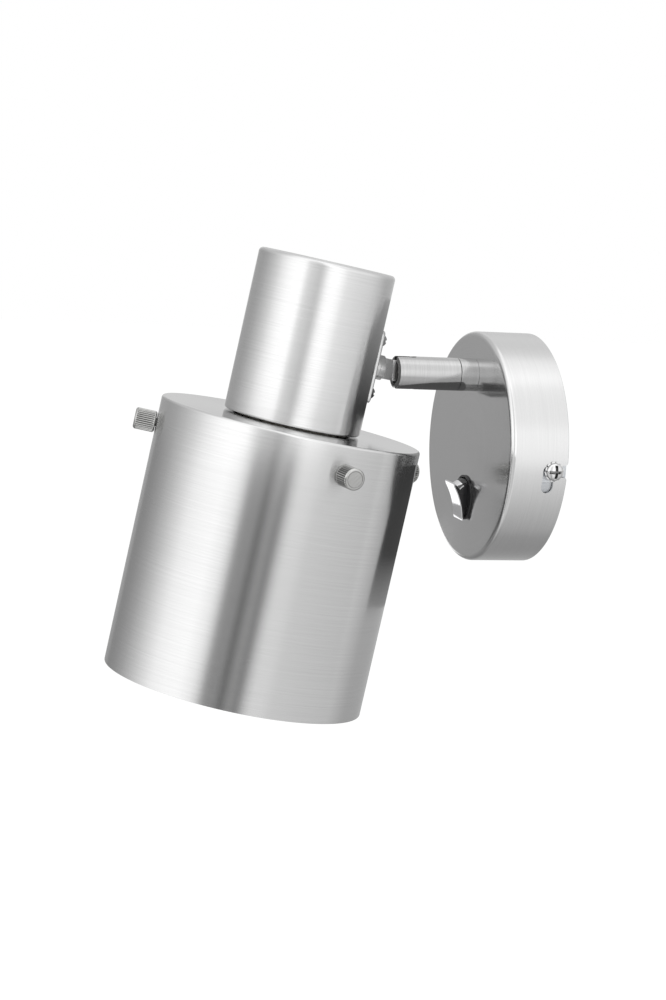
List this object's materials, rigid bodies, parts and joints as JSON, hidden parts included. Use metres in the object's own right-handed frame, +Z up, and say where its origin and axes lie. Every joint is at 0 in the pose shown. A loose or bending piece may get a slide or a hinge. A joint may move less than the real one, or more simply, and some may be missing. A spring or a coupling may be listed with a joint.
{
  "type": "tube wall light",
  "caption": "Wall light with a round canopy and rocker switch, a short turning arm with a tilting knuckle, and a tube head with a larger open cylinder shade.",
  "frame": {"origin": "centre of the canopy's rim on the wall plane", "axes": "the wall is Y = 0, the lamp stands out towards -Y, +Z is up, +X is the lamp's right as seen from the front"},
  "size_m": [0.1217, 0.1817, 0.1977],
  "materials": {
    "brushed_canopy": "satin, brushed round the canopy",
    "brushed_tube": "satin, brushed round the tube",
    "brushed_shade": "satin, brushed round the shade",
    "brushed_arm": "satin, turned",
    "knurled_steel": "fine straight knurl",
    "turned_steel": "bright turned",
    "bright_steel": "bright plated",
    "rocker_chrome": "polished chrome",
    "zinc_steel": "zinc plated",
    "spring_steel": "blackened",
    "black_plastic": "gloss",
    "white_plastic": "matt",
    "ivory_plastic": "semi-gloss",
    "ceramic": "glazed",
    "rubber": "matt",
    "brass_metal": "bright",
    "lead_insulation": "smooth"
  },
  "bodies": {
    "wall_unit": {"wall_bracket": "zinc_steel", "cable_grommet": "rubber", "earth_screw": "brass_metal", "terminal_block": "white_plastic", "terminal_screws": "brass_metal", "canopy": "brushed_canopy", "canopy_screws": "bright_steel", "canopy_washers": "bright_steel", "switch_housing": "black_plastic", "switch_contacts": "brass_metal", "arm_collar": "brushed_arm", "collar_washer": "zinc_steel", "collar_nut": "brass_metal", "canopy_leads": "lead_insulation"},
    "arm": {"arm_tube": "brushed_arm", "arm_clip": "spring_steel", "knuckle_screw": "bright_steel", "knuckle_bushes": "white_plastic"},
    "head": {"knuckle_stud": "turned_steel", "knuckle_washer": "turned_steel", "mounting_plate": "turned_steel", "plate_screws": "bright_steel", "stud_nut": "brass_metal", "tube_housing": "brushed_tube", "holder_bracket": "zinc_steel", "holder_nipple": "brass_metal", "nipple_nuts": "zinc_steel", "holder_cap": "ivory_plastic", "holder_core": "ceramic", "holder_skirt": "ivory_plastic", "screw_shell": "brass_metal", "centre_contact": "brass_metal", "contact_screws": "bright_steel", "shade_rings": "ivory_plastic", "shade_carrier": "zinc_steel", "shade": "brushed_shade", "head_leads": "lead_insulation"},
    "rocker": {"switch_rocker": "rocker_chrome"},
    "thumbscrew_left": {"thumbscrew_left": "knurled_steel"},
    "thumbscrew_front": {"thumbscrew_front": "knurled_steel"},
    "thumbscrew_back": {"thumbscrew_back": "knurled_steel"}
  },
  "joints": [
    {"name": "arm_swivel", "type": "hinge", "parent": "wall_unit", "child": "arm", "pos_m": [0, -0.02915, 0.0312], "axis": [0, -1, 0], "range_deg": [-170, 170]},
    {"name": "head_tilt", "type": "hinge", "parent": "arm", "child": "head", "pos_m": [0, -0.0583, 0.0312], "axis": [1, 0, 0], "range_deg": [-60, 20]},
    {"name": "rocker_tilt", "type": "hinge", "parent": "wall_unit", "child": "rocker", "pos_m": [0, -0.025, -0.0228], "axis": [1, 0, 0], "range_deg": [-36, 0]},
    {"name": "thumbscrew_left_turn_out", "type": "slide", "parent": "head", "child": "thumbscrew_left", "axis": [-0.2588, -0.9532, 0.1561], "range_m": [0, 0.006]},
    {"name": "thumbscrew_front_turn_out", "type": "slide", "parent": "head", "child": "thumbscrew_front", "axis": [0.9877, 0.1544, -0.0253], "range_m": [0, 0.006]},
    {"name": "thumbscrew_back_turn_out", "type": "slide", "parent": "head", "child": "thumbscrew_back", "axis": [-0.1736, 0.9719, -0.1591], "range_m": [0, 0.006]}
  ]
}
